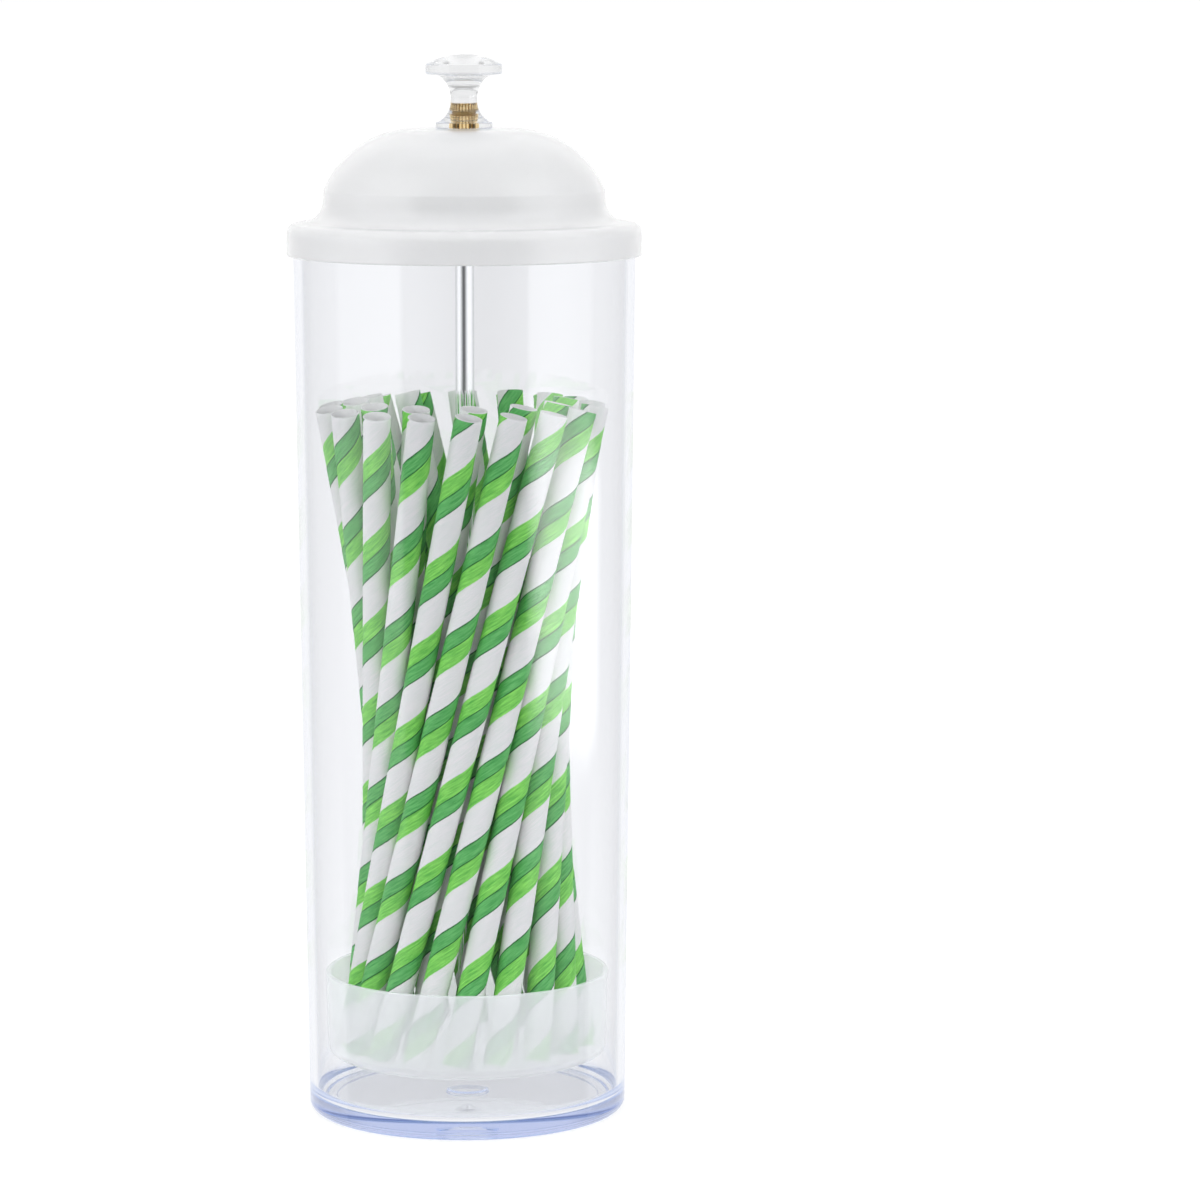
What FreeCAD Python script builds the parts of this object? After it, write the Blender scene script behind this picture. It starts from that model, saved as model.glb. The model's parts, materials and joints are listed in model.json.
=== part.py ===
"""Straw dispenser: a clear canister with a frosted domed lid, a knob, a lift rod and a tray of paper straws.

The canister stands on the table. The lid rests on its mouth, and the rod hangs from the lid and carries a
frosted tray in which the straws stand. Pulling the knob lifts lid, rod, tray and straws together, and the
straws fan out as their tops pass the mouth. Knob, rod and tray turn as one in the lid's hub.

Frame: millimetres, +Z up, the origin at the centre of the canister's foot, -Y towards the viewer.
"""
import FreeCAD
import Part

import math
import os

from FreeCAD import Vector

# Canister, an injection-moulded cup with draft
canister_height = 261.0
canister_mouth_radius = 50.1
canister_foot_radius = 47.0
canister_wall = 2.4
canister_floor = 5.0
canister_foot_rounding = 3.0
canister_floor_rounding = 4.0
canister_mouth_chamfer = 0.6
foot_ring_width = 5.0
foot_recess_depth = 0.8
gate_well_radius = 6.2
gate_well_depth = 1.2
gate_pad_height = 0.5

# Lid, a frosted moulding that caps the canister's mouth
lid_wall = 1.8
skirt_depth = 6.8
skirt_wall = 1.6
skirt_clearance = 0.3
skirt_edge_chamfer = 0.5
lid_seat_clearance = 0.05
flange_thickness = 2.4
flange_fall = 0.5
flange_rounding = 3.0
flange_land = 1.3
cove_radius = 6.4
neck_band_height = 2.9
neck_draft = 0.2
dome_height = 18.0
dome_radius = 28.5
hub_radius = 6.0
hub_depth = 6.0

# Knob, a clear spool moulded round a threaded brass insert
knob_height = 21.5
knob_base_radius = 8.3
knob_base_edge = 1.7
knob_neck_wall = 0.96
knob_lower_flare = 6.9
knob_lower_flare_height = 6.2
knob_upper_flare = 7.5
knob_throat_length = 0.9
knob_disc_radius = 11.2
knob_disc_edge = 2.8
knob_disc_fall = 0.5
knob_crown = 3.0
knob_seat_clearance = 0.1
insert_core_wall = 0.3
insert_tooth_height = 0.5
insert_tooth_depth = 0.3
insert_tooth_count = 20
insert_length = 6.9
insert_band_length = 2.6
insert_cap = 0.9
insert_recess = 0.2
insert_clearance = 0.04

# Lift rod and its fasteners
rod_radius = 2.75
rod_edge_chamfer = 0.3
thread_radius = 2.0
thread_clearance = 0.06
thread_tip_chamfer = 0.5
hub_running_clearance = 0.08
hub_axial_play = 0.2
washer_radius = 4.5
washer_thickness = 0.8
nut_across_flats = 7.0
nut_height = 3.2
nut_chamfer_angle = 30.0
rod_tip_length = 1.2

# Tray, a frosted cup that hangs on the rod's lower end
tray_rise = 12.0
tray_height = 25.2
tray_taper = 0.8
tray_canister_clearance = 3.0
tray_wall = 1.5
tray_floor = 1.8
tray_corner_rounding = 3.5
tray_rim_chamfer = 0.4
tray_foot_ring_width = 3.0
tray_foot_ring_height = 0.6
tray_hub_radius = 6.5
tray_hub_height = 6.0
tray_hub_drop = 2.0

# Paper straws, standing in two rings that twist anticlockwise on the way up
straw_length = 197.0
straw_radius = 4.0
straw_paper = 0.45
straw_gap = 1.0
straw_scatter = 0.2
straw_scatter_waves = 5
straw_foot_clearance = 0.1
sheaf_tray_clearance = 1.0
sheaf_ring_gap = 0.5
sheaf_waist_draw_in = 8.0
sheaf_lean = 15.0
sheaf_sway = 0.4
sheaf_sway_angle = 150.0
outer_start_angle = -96.0
inner_start_angle = -80.0

# Heights that follow from the sizes above
tray_base_z = canister_floor + tray_rise
tray_floor_z = tray_base_z + tray_floor
tray_hub_top_z = tray_floor_z + tray_hub_height
tray_rim_z = tray_base_z + tray_height
lid_seat_z = canister_height + lid_seat_clearance
lid_outer_radius = canister_mouth_radius + skirt_clearance + skirt_wall
flange_edge_z = canister_height + flange_thickness
cove_foot_radius = lid_outer_radius - flange_rounding - flange_land
cove_foot_z = flange_edge_z + flange_fall
cove_top_z = cove_foot_z + cove_radius
neck_radius = cove_foot_radius - cove_radius
neck_top_z = cove_top_z + neck_band_height
dome_top_z = neck_top_z + dome_height
hub_bottom_z = dome_top_z - lid_wall - hub_depth
knob_base_z = dome_top_z + knob_seat_clearance
knob_top_z = knob_base_z + knob_height
insert_base_z = knob_base_z + insert_recess
insert_top_z = insert_base_z + insert_length
lid_washer_z = hub_bottom_z - hub_axial_play - washer_thickness
tray_washer_z = tray_base_z - tray_hub_drop - washer_thickness
tray_nut_z = tray_washer_z - nut_height
rod_tip_z = tray_nut_z - rod_tip_length
rod_foot_shoulder_z = tray_hub_top_z + washer_thickness
rod_top_z = insert_top_z - insert_cap
lid_hole_radius = thread_radius + hub_running_clearance
screw_hole_radius = thread_radius + thread_clearance
insert_core_radius = screw_hole_radius + insert_core_wall
insert_radius = insert_core_radius + insert_tooth_height
knob_cavity_radius = insert_radius + insert_clearance
knob_neck_radius = knob_cavity_radius + knob_neck_wall


def canister_outer_radius(z):
    return canister_foot_radius + (canister_mouth_radius - canister_foot_radius) * z / canister_height


def canister_inner_radius(z):
    return canister_outer_radius(z) - canister_wall


# The tray hangs inside the canister with room all round
tray_rim_radius = canister_inner_radius(tray_rim_z) - tray_canister_clearance
tray_foot_radius = tray_rim_radius - tray_taper


def outline(*stops):
    """Flat face in the half-plane of radius and height.

    A stop is (r, z), a sharp corner; (r, z, rounding), a rounded corner between two straight sides; or
    (r, z, centre_r, centre_z), the end of an arc about that centre.
    """
    points = [Vector(stop[0], 0, stop[1]) for stop in stops]
    leave, arrive, edges = list(points), list(points), []
    for i, stop in enumerate(stops):
        if len(stop) == 3 and stop[2] > 0:
            back = (points[i - 1] - points[i]).normalize()
            ahead = (points[(i + 1) % len(points)] - points[i]).normalize()
            half = back.getAngle(ahead) / 2
            reach = stop[2] / math.tan(half)
            arrive[i] = points[i] + back * reach
            leave[i] = points[i] + ahead * reach
            bisector = (back + ahead).normalize()
            middle = points[i] + bisector * (stop[2] / math.sin(half) - stop[2])
            edges.append((i, Part.Arc(arrive[i], middle, leave[i]).toShape()))
    sides = []
    for i, stop in enumerate(stops):
        begin, end = leave[i - 1], arrive[i]
        if len(stop) == 4:
            centre = Vector(stop[2], 0, stop[3])
            spread = (begin - centre) + (end - centre)
            middle = centre + spread.normalize() * (end - centre).Length
            sides.append(Part.Arc(begin, middle, end).toShape())
        elif (end - begin).Length > 1e-6:
            sides.append(Part.LineSegment(begin, end).toShape())
        sides += [arc for corner, arc in edges if corner == i]
    return Part.Face(Part.Wire(sides))


def turned(*stops):
    """Solid of revolution about the Z axis of the outline through the stops."""
    return outline(*stops).revolve(Vector(0, 0, 0), Vector(0, 0, 1), 360)


def rod_solid(radius, bottom, top):
    return Part.makeCylinder(radius, top - bottom, Vector(0, 0, bottom))


def make_canister():
    """Clear cup: a thick floor on a foot ring, drafted walls and a gate mark at its centre."""
    ring_inner = canister_foot_radius - canister_foot_rounding - foot_ring_width
    mouth_inner = canister_mouth_radius - canister_wall
    floor_inner = canister_inner_radius(canister_floor)
    chamfer_z = canister_height - canister_mouth_chamfer
    cup = turned(
        (0, foot_recess_depth),
        (ring_inner, foot_recess_depth),
        (ring_inner, 0),
        (canister_foot_radius, 0, canister_foot_rounding),
        (canister_mouth_radius, chamfer_z),
        (canister_mouth_radius - canister_mouth_chamfer, canister_height),
        (mouth_inner + canister_mouth_chamfer, canister_height),
        (mouth_inner, chamfer_z),
        (floor_inner, canister_floor, canister_floor_rounding),
        (gate_well_radius, canister_floor),
        (gate_well_radius - gate_pad_height, canister_floor + gate_pad_height),
        (0, canister_floor + gate_pad_height),
    )
    gate_well = rod_solid(gate_well_radius, 0, foot_recess_depth + gate_well_depth)
    return cup.cut(gate_well)


def dome_shell(inset):
    """The lid's dome, neck and cove, inset from the outer face, as a full solid of revolution."""
    neck = neck_radius - inset
    crease = neck - neck_draft
    centre_z = dome_top_z - dome_radius
    reach = math.sqrt(dome_radius**2 - (neck_top_z - centre_z) ** 2)
    centre_r = neck_radius - neck_draft - reach
    crease_z = centre_z + math.sqrt((dome_radius - inset) ** 2 - (crease - centre_r) ** 2)
    return turned(
        (0, canister_height),
        (cove_foot_radius, canister_height),
        (cove_foot_radius, cove_foot_z - inset),
        (neck, cove_top_z, cove_foot_radius, cove_top_z),
        (crease, crease_z),
        (centre_r, dome_top_z - inset, centre_r, centre_z),
        (0, dome_top_z - inset),
    )


def make_lid():
    """Frosted dome on a coved neck, with a flange that sits on the mouth and a skirt round it."""
    skirt_inner = lid_outer_radius - skirt_wall
    skirt_bottom = canister_height - skirt_depth
    flange_inner = cove_foot_radius - lid_wall
    flange = turned(
        (flange_inner, lid_seat_z),
        (skirt_inner, lid_seat_z),
        (skirt_inner, skirt_bottom),
        (lid_outer_radius - skirt_edge_chamfer, skirt_bottom),
        (lid_outer_radius, skirt_bottom + skirt_edge_chamfer),
        (lid_outer_radius, flange_edge_z, flange_rounding),
        (cove_foot_radius, cove_foot_z),
        (flange_inner, cove_foot_z),
    )
    shell = dome_shell(0).cut(rod_solid(cove_foot_radius, 0, lid_seat_z)).fuse(flange)
    hub = rod_solid(hub_radius, hub_bottom_z, dome_top_z - lid_wall / 2)
    hole = rod_solid(lid_hole_radius, 0, dome_top_z + 1)
    return shell.cut(dome_shell(lid_wall)).fuse(hub).cut(hole).removeSplitter()


def make_knob():
    """Clear spool: a rimmed foot, a waisted throat and a crowned disc, hollow for the insert."""
    lower_z = knob_base_z + knob_base_edge
    disc_top_z = knob_top_z - knob_crown
    disc_bottom_z = disc_top_z - knob_disc_edge
    throat_low_z = lower_z + knob_lower_flare_height
    throat_high_z = throat_low_z + knob_throat_length
    lower_centre = knob_neck_radius + knob_lower_flare
    upper_centre = knob_neck_radius + knob_upper_flare
    flare_foot = lower_centre - math.sqrt(knob_lower_flare**2 - (throat_low_z - lower_z) ** 2)
    under_z = disc_bottom_z - knob_disc_fall
    flare_head = upper_centre - math.sqrt(knob_upper_flare**2 - (under_z - throat_high_z) ** 2)
    crown_radius = (knob_disc_radius**2 + knob_crown**2) / (2 * knob_crown)
    body = turned(
        (0, knob_base_z),
        (knob_base_radius, knob_base_z),
        (knob_base_radius, lower_z),
        (flare_foot, lower_z),
        (knob_neck_radius, throat_low_z, lower_centre, throat_low_z),
        (knob_neck_radius, throat_high_z),
        (flare_head, under_z, upper_centre, throat_high_z),
        (knob_disc_radius, disc_bottom_z),
        (knob_disc_radius, disc_top_z),
        (0, knob_top_z, 0, knob_top_z - crown_radius),
    )
    cavity = rod_solid(knob_cavity_radius, knob_base_z - 1, insert_top_z + insert_clearance)
    return body.cut(cavity)


def knurled_band(bottom):
    """Ring of straight teeth, as rolled on a moulding insert."""
    points = []
    for i in range(insert_tooth_count):
        for share, radius in ((0.0, insert_radius), (0.5, insert_radius - insert_tooth_depth)):
            angle = 2 * math.pi * (i + share) / insert_tooth_count
            points.append(Vector(radius * math.cos(angle), radius * math.sin(angle), bottom))
    face = Part.Face(Part.makePolygon(points + points[:1]))
    return face.extrude(Vector(0, 0, insert_band_length))


def make_knob_insert():
    """Brass insert: two knurled bands with a groove between, a blind hole from below."""
    core = rod_solid(insert_core_radius, insert_base_z, insert_top_z)
    upper_band_z = insert_top_z - insert_band_length
    body = core.fuse([knurled_band(insert_base_z), knurled_band(upper_band_z)])
    hole = rod_solid(screw_hole_radius, insert_base_z - 1, insert_top_z - insert_cap)
    return body.cut(hole)


def make_lift_rod():
    """Stainless rod with a shouldered, threaded end at the tray and another at the knob."""
    return turned(
        (0, rod_tip_z),
        (thread_radius - thread_tip_chamfer, rod_tip_z),
        (thread_radius, rod_tip_z + thread_tip_chamfer),
        (thread_radius, rod_foot_shoulder_z),
        (rod_radius - rod_edge_chamfer, rod_foot_shoulder_z),
        (rod_radius, rod_foot_shoulder_z + rod_edge_chamfer),
        (rod_radius, lid_washer_z - rod_edge_chamfer),
        (rod_radius - rod_edge_chamfer, lid_washer_z),
        (thread_radius, lid_washer_z),
        (thread_radius, rod_top_z - thread_tip_chamfer),
        (thread_radius - thread_tip_chamfer, rod_top_z),
        (0, rod_top_z),
    )


def make_washer(bottom):
    """Flat washer with its lower face at that height."""
    ring = rod_solid(washer_radius, bottom, bottom + washer_thickness)
    return ring.cut(rod_solid(screw_hole_radius, bottom - 1, bottom + washer_thickness + 1))


def make_tray_nut():
    """Hexagon nut with both ends chamfered round its corners."""
    corner_radius = nut_across_flats / math.sqrt(3)
    corners = [
        Vector(corner_radius * math.cos(a), corner_radius * math.sin(a), tray_nut_z)
        for a in (math.radians(60 * i) for i in range(7))
    ]
    prism = Part.Face(Part.makePolygon(corners)).extrude(Vector(0, 0, nut_height))
    flat_radius = nut_across_flats / 2
    chamfer = (corner_radius - flat_radius) * math.tan(math.radians(nut_chamfer_angle))
    blank = turned(
        (0, tray_nut_z),
        (flat_radius, tray_nut_z),
        (corner_radius, tray_nut_z + chamfer),
        (corner_radius, tray_nut_z + nut_height - chamfer),
        (flat_radius, tray_nut_z + nut_height),
        (0, tray_nut_z + nut_height),
    )
    hole = rod_solid(screw_hole_radius, tray_nut_z - 1, tray_washer_z + 1)
    return prism.common(blank).cut(hole)


def tray_outer_radius(z):
    share = (z - tray_base_z) / tray_height
    return tray_foot_radius + (tray_rim_radius - tray_foot_radius) * share


def make_tray():
    """Frosted cup on a low foot ring, with a drilled hub at its centre for the rod."""
    ring_outer = tray_foot_radius - tray_corner_rounding
    ring_inner = ring_outer - tray_foot_ring_width
    ring_z = tray_base_z - tray_foot_ring_height
    rim_inner = tray_rim_radius - tray_wall
    chamfer_z = tray_rim_z - tray_rim_chamfer
    inner_rounding = tray_corner_rounding - tray_wall
    cup = turned(
        (0, tray_base_z),
        (tray_foot_radius, tray_base_z, tray_corner_rounding),
        (tray_rim_radius, chamfer_z),
        (tray_rim_radius - tray_rim_chamfer, tray_rim_z),
        (rim_inner + tray_rim_chamfer, tray_rim_z),
        (rim_inner, chamfer_z),
        (tray_outer_radius(tray_floor_z) - tray_wall, tray_floor_z, inner_rounding),
        (tray_hub_radius, tray_floor_z),
        (tray_hub_radius, tray_hub_top_z),
        (0, tray_hub_top_z),
    )
    ring = rod_solid(ring_outer, ring_z, tray_base_z).cut(rod_solid(ring_inner, ring_z, tray_base_z))
    boss = rod_solid(tray_hub_radius, tray_base_z - tray_hub_drop, tray_base_z)
    hole = rod_solid(screw_hole_radius, tray_washer_z, tray_hub_top_z + 1)
    return cup.fuse([ring, boss]).cut(hole).removeSplitter()


class StrawRing:
    """Straws that all lean along the tangent of one waist circle, like a sheaf that is twisted once.

    Their lean sways by a little from one side of the ring to the other, and their spacing is uneven by the
    scatter, as in a handful of straws that someone dropped in.
    """

    def __init__(self, foot_radius, waist_height, start_angle):
        self.waist_radius = foot_radius - sheaf_waist_draw_in
        self.foot_to_waist = math.sqrt(foot_radius**2 - self.waist_radius**2)
        self.lean = math.atan(self.foot_to_waist / waist_height)
        self.start_angle = math.radians(start_angle)
        pitch = (2 * straw_radius + straw_gap) / math.cos(self.lean)
        self.count = int(math.pi / math.asin(pitch / (2 * self.waist_radius)))

    def straw(self, index):
        """Foot point, heading and lean of one straw. The foot point is where it stands on the tray."""
        even_angle = 2 * math.pi * index / self.count
        shift = straw_scatter / self.waist_radius * math.sin(straw_scatter_waves * even_angle)
        angle = self.start_angle + even_angle + shift
        lean = self.lean + math.radians(sheaf_sway) * math.cos(angle - math.radians(sheaf_sway_angle))
        radial = Vector(math.cos(angle), math.sin(angle), 0)
        heading = Vector(-math.sin(angle), math.cos(angle), 0)
        centre = radial * self.waist_radius - heading * self.foot_to_waist
        foot = centre + heading * (straw_radius * math.cos(lean))
        foot.z = tray_floor_z + straw_foot_clearance
        return foot, heading, lean


def straw_rings():
    """The outer ring stands by the tray's wall and the inner one nests in it, with its waist as high."""
    outer_foot = tray_outer_radius(tray_floor_z) - tray_wall - straw_radius - sheaf_tray_clearance
    inner_foot = outer_foot - 2 * straw_radius - sheaf_ring_gap
    outer_waist = outer_foot - sheaf_waist_draw_in
    waist_height = math.sqrt(outer_foot**2 - outer_waist**2) / math.tan(math.radians(sheaf_lean))
    outer = StrawRing(outer_foot, waist_height, outer_start_angle)
    inner = StrawRing(inner_foot, waist_height, inner_start_angle)
    return outer, inner


def straws():
    """Foot point, heading and lean of every straw, the outer ring first."""
    return [ring.straw(i) for ring in straw_rings() for i in range(ring.count)]


def make_straw(foot, heading, lean):
    """Paper tube that stands on the edge of its foot and leans towards its heading."""
    tube = Part.makeCylinder(straw_radius, straw_length)
    tube = tube.cut(Part.makeCylinder(straw_radius - straw_paper, straw_length))
    tube.translate(Vector(-straw_radius, 0, 0))
    tube.rotate(Vector(0, 0, 0), Vector(0, 1, 0), math.degrees(lean))
    tube.rotate(Vector(0, 0, 0), Vector(0, 0, 1), math.degrees(math.atan2(heading.y, heading.x)))
    tube.translate(foot)
    return tube


def make_parts():
    """Every sub-part by name."""
    parts = {
        "canister": make_canister(),
        "lid": make_lid(),
        "knob": make_knob(),
        "knob_insert": make_knob_insert(),
        "lift_rod": make_lift_rod(),
        "lid_washer": make_washer(lid_washer_z),
        "tray": make_tray(),
        "tray_upper_washer": make_washer(tray_hub_top_z),
        "tray_lower_washer": make_washer(tray_washer_z),
        "tray_nut": make_tray_nut(),
    }
    for number, placed in enumerate(straws(), start=1):
        parts[f"straw_{number:02d}"] = make_straw(*placed)
    return parts


def main():
    os.makedirs("parts", exist_ok=True)
    for name, shape in make_parts().items():
        shape.exportStep(f"parts/{name}.step")


main()
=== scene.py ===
"""Looks of a straw dispenser: clear canister, frosted lid and tray, clear knob, steel rod and paper straws.

Metres, +Z up, the origin at the centre of the canister's foot, -Y towards the viewer. Outlines of turned
pieces are written in millimetres of radius and height.
"""

import json
import math

import bpy
from mathutils import Matrix, Vector


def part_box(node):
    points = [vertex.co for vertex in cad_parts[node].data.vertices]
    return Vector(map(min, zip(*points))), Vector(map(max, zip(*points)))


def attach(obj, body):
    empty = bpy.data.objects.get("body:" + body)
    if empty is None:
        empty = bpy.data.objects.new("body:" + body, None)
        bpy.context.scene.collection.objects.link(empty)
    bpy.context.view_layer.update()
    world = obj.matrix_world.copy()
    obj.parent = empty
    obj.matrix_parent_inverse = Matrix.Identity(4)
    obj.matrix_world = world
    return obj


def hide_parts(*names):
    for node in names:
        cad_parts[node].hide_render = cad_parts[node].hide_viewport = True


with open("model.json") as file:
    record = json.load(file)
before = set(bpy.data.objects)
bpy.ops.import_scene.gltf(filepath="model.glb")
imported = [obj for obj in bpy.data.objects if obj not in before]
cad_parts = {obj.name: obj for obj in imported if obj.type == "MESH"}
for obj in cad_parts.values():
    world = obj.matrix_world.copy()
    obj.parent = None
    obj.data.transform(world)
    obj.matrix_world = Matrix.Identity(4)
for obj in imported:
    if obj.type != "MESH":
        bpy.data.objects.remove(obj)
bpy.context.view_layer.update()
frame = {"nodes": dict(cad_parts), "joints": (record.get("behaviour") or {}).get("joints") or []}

MM = 0.001

# Photographer's stand: the camera's distance, height and turn, and the frame that the picture is taken in
CAMERA_DISTANCE = 1.420
CAMERA_HEIGHT = 0.3393
CAMERA_PITCH = math.radians(7.5)
CAMERA_YAW = math.radians(1.60)
SENSOR_WIDTH = 36.0
LENS = 145.4

# Heights and radii of the frame, in millimetres
CANISTER_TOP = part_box("canister")[1].z / MM
CANISTER_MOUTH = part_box("canister")[1].x / MM
LID_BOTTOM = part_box("lid")[0].z / MM
LID_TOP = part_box("lid")[1].z / MM
LID_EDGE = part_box("lid")[1].x / MM
KNOB_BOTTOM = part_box("knob")[0].z / MM
KNOB_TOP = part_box("knob")[1].z / MM
KNOB_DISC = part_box("knob")[1].x / MM
INSERT_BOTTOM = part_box("knob_insert")[0].z / MM
INSERT_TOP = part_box("knob_insert")[1].z / MM
ROD_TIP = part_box("lift_rod")[0].z / MM
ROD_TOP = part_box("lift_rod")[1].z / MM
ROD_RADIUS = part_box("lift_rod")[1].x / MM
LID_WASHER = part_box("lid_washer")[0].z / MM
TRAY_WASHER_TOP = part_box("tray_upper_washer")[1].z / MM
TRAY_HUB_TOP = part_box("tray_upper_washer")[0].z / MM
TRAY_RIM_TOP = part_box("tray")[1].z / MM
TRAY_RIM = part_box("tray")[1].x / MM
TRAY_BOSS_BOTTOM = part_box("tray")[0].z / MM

# Sizes that the frame's boxes don't give, in millimetres
CANISTER_DRAFT = 3.1
CANISTER_WALL = 2.4
CANISTER_FLOOR = 5.0
FOOT_ROUNDING = 3.0
FLOOR_ROUNDING = 4.0
FOOT_RING_WIDTH = 5.0
FOOT_RECESS = 0.8
GATE_RADIUS = 6.2
GATE_WELL = 1.2
GATE_PAD = 0.5
LID_WALL = 1.8
SKIRT_WALL = 1.6
FLANGE_THICKNESS = 2.4
FLANGE_FALL = 0.5
FLANGE_ROUNDING = 3.0
FLANGE_LAND = 1.3
COVE_RADIUS = 6.4
NECK_BAND = 2.9
NECK_DRAFT = 0.2
DOME_RADIUS = 28.5
DOME_CREASE = 0.35
LID_HUB_RADIUS = 6.0
LID_HUB_DEPTH = 6.0
LID_HOLE = 2.08
KNOB_BASE_RADIUS = 8.3
KNOB_BASE_EDGE = 1.7
KNOB_NECK_RADIUS = 3.86
KNOB_CAVITY = 2.50
KNOB_CAVITY_WAIST = 2.28
KNOB_CAVITY_GRIP = 0.2
INSERT_BAND = 2.6
KNOB_LOWER_FLARE = 6.9
KNOB_LOWER_FLARE_HEIGHT = 6.2
KNOB_UPPER_FLARE = 7.5
KNOB_THROAT = 0.9
KNOB_DISC_EDGE = 2.8
KNOB_DISC_FALL = 0.5
KNOB_CROWN = 3.0
TRAY_WALL = 1.5
TRAY_TAPER = 0.8
TRAY_HEIGHT = 25.2
TRAY_FLOOR = 1.8
TRAY_CORNER = 3.5
TRAY_FOOT_RING = 3.0
TRAY_FOOT_RING_HEIGHT = 0.6
TRAY_HUB = 6.5
SCREW_HOLE = 2.06
THREAD_RADIUS = 2.0
THREAD_PITCH = 0.7
THREAD_DEPTH = 0.36
ROD_CHAMFER = 0.3
STRAW_LENGTH = 197.0
STRAW_RADIUS = 4.0
STRAW_PAPER = 0.45
STRAW_LAP = 0.09
STRIPE_PITCH = 25.6

# How finely curves are drawn
TURN_STEPS = 192
ARC_STEP = math.radians(7.5)
STRAW_COLUMNS = 36
STRAW_RINGS = 150


def arc(begin, end, centre):
    """Points from begin to end, the short way about the centre."""
    first, last = begin - centre, end - centre
    sweep = first.angle_signed(last)
    steps = max(2, math.ceil(abs(sweep) / ARC_STEP))
    points = []
    for i in range(steps + 1):
        spoke = first.copy()
        spoke.rotate(Matrix.Rotation(-sweep * i / steps, 2))
        points.append(centre + spoke)
    return points


def outline(stops):
    """Points of a closed outline in the half-plane of radius and height.

    A stop is (r, z), a sharp corner; (r, z, rounding), a rounded corner; or (r, z, centre_r, centre_z), the
    end of an arc about that centre.
    """
    corners = [Vector(stop[:2]) for stop in stops]
    points = []
    for i, stop in enumerate(stops):
        here = corners[i]
        if len(stop) == 3:
            back = (corners[i - 1] - here).normalized()
            ahead = (corners[(i + 1) % len(stops)] - here).normalized()
            half = back.angle(ahead) / 2
            reach = stop[2] / math.tan(half)
            centre = here + (back + ahead).normalized() * (stop[2] / math.sin(half))
            points += arc(here + back * reach, here + ahead * reach, centre)
        elif len(stop) == 4:
            points += arc(points[-1], here, Vector(stop[2:]))[1:]
        else:
            points.append(here)
    return points


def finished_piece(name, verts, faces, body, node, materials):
    """Object of that mesh, smooth, with its normals held flat by the larger faces, on its body."""
    mesh = bpy.data.meshes.new(name)
    mesh.from_pydata(verts, [], faces)
    mesh.polygons.foreach_set("use_smooth", [True] * len(mesh.polygons))
    for material in materials:
        mesh.materials.append(material)
    piece = bpy.data.objects.new(name, mesh)
    bpy.context.scene.collection.objects.link(piece)
    flat = piece.modifiers.new("Flats stay flat", "WEIGHTED_NORMAL")
    flat.mode = "FACE_AREA"
    flat.weight = 50
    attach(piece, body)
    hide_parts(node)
    return piece


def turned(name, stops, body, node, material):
    """Closed solid of revolution of the outline through the stops, whose points run anticlockwise."""
    verts, rings, faces = [], [], []
    for point in outline(stops):
        radius, height = point.x * MM, point.y * MM
        steps = TURN_STEPS if radius > 1e-7 else 1
        rings.append([len(verts) + i for i in range(steps)])
        for i in range(steps):
            angle = 2 * math.pi * i / TURN_STEPS
            verts.append((radius * math.cos(angle), radius * math.sin(angle), height))
    for low, high in zip(rings, rings[1:] + rings[:1]):
        for i in range(TURN_STEPS):
            corners = [low[i % len(low)], low[(i + 1) % TURN_STEPS % len(low)]]
            corners += [high[(i + 1) % TURN_STEPS % len(high)], high[i % len(high)]]
            face = list(dict.fromkeys(corners))
            if len(face) > 2:
                faces.append(face)
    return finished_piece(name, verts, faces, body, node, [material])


# Materials


def new_material(name):
    """Node material with its Principled shader and its output."""
    material = bpy.data.materials.new(name)
    material.use_nodes = True
    nodes = material.node_tree.nodes
    return material, nodes["Principled BSDF"], nodes["Material Output"]


def add(tree, kind, **values):
    """Node of that kind, with inputs or properties set by name."""
    node = tree.nodes.new(kind)
    for key, value in values.items():
        label = key.replace("_", " ")
        if label in node.inputs:
            node.inputs[label].default_value = value
        else:
            setattr(node, key, value)
    return node


def new_group(name, inputs, outputs):
    """Shader node group with named value sockets."""
    group = bpy.data.node_groups.new(name, "ShaderNodeTree")
    for socket, value in inputs.items():
        made = group.interface.new_socket(socket, in_out="INPUT", socket_type="NodeSocketFloat")
        made.default_value = value
    for socket in outputs:
        group.interface.new_socket(socket, in_out="OUTPUT", socket_type="NodeSocketFloat")
    return group, group.nodes.new("NodeGroupInput"), group.nodes.new("NodeGroupOutput")


def handled_surface():
    """Group: faint smears and fine random scratches of a handled surface, as a roughness and a height."""
    group, given, out = new_group(
        "Handled surface",
        {"Smear scale": 30.0, "Scratch scale": 900.0, "Lowest": 0.0, "Highest": 0.1},
        ("Roughness", "Height"),
    )
    link = group.links.new
    place = add(group, "ShaderNodeTexCoord")
    smears = add(group, "ShaderNodeTexNoise", Detail=3.0, Roughness=0.55)
    stretch = add(group, "ShaderNodeMapping")
    stretch.inputs["Scale"].default_value = (1.0, 1.0, 0.08)
    scratches = add(group, "ShaderNodeTexNoise", Detail=2.0, Roughness=0.7)
    link(place.outputs["Object"], smears.inputs["Vector"])
    link(given.outputs["Smear scale"], smears.inputs["Scale"])
    link(place.outputs["Object"], stretch.inputs["Vector"])
    link(stretch.outputs["Vector"], scratches.inputs["Vector"])
    link(given.outputs["Scratch scale"], scratches.inputs["Scale"])
    spread = add(group, "ShaderNodeMapRange", From_Min=0.35, From_Max=0.7)
    link(smears.outputs["Fac"], spread.inputs["Value"])
    link(given.outputs["Lowest"], spread.inputs["To Min"])
    link(given.outputs["Highest"], spread.inputs["To Max"])
    link(spread.outputs["Result"], out.inputs["Roughness"])
    link(scratches.outputs["Fac"], out.inputs["Height"])
    return group


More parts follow.
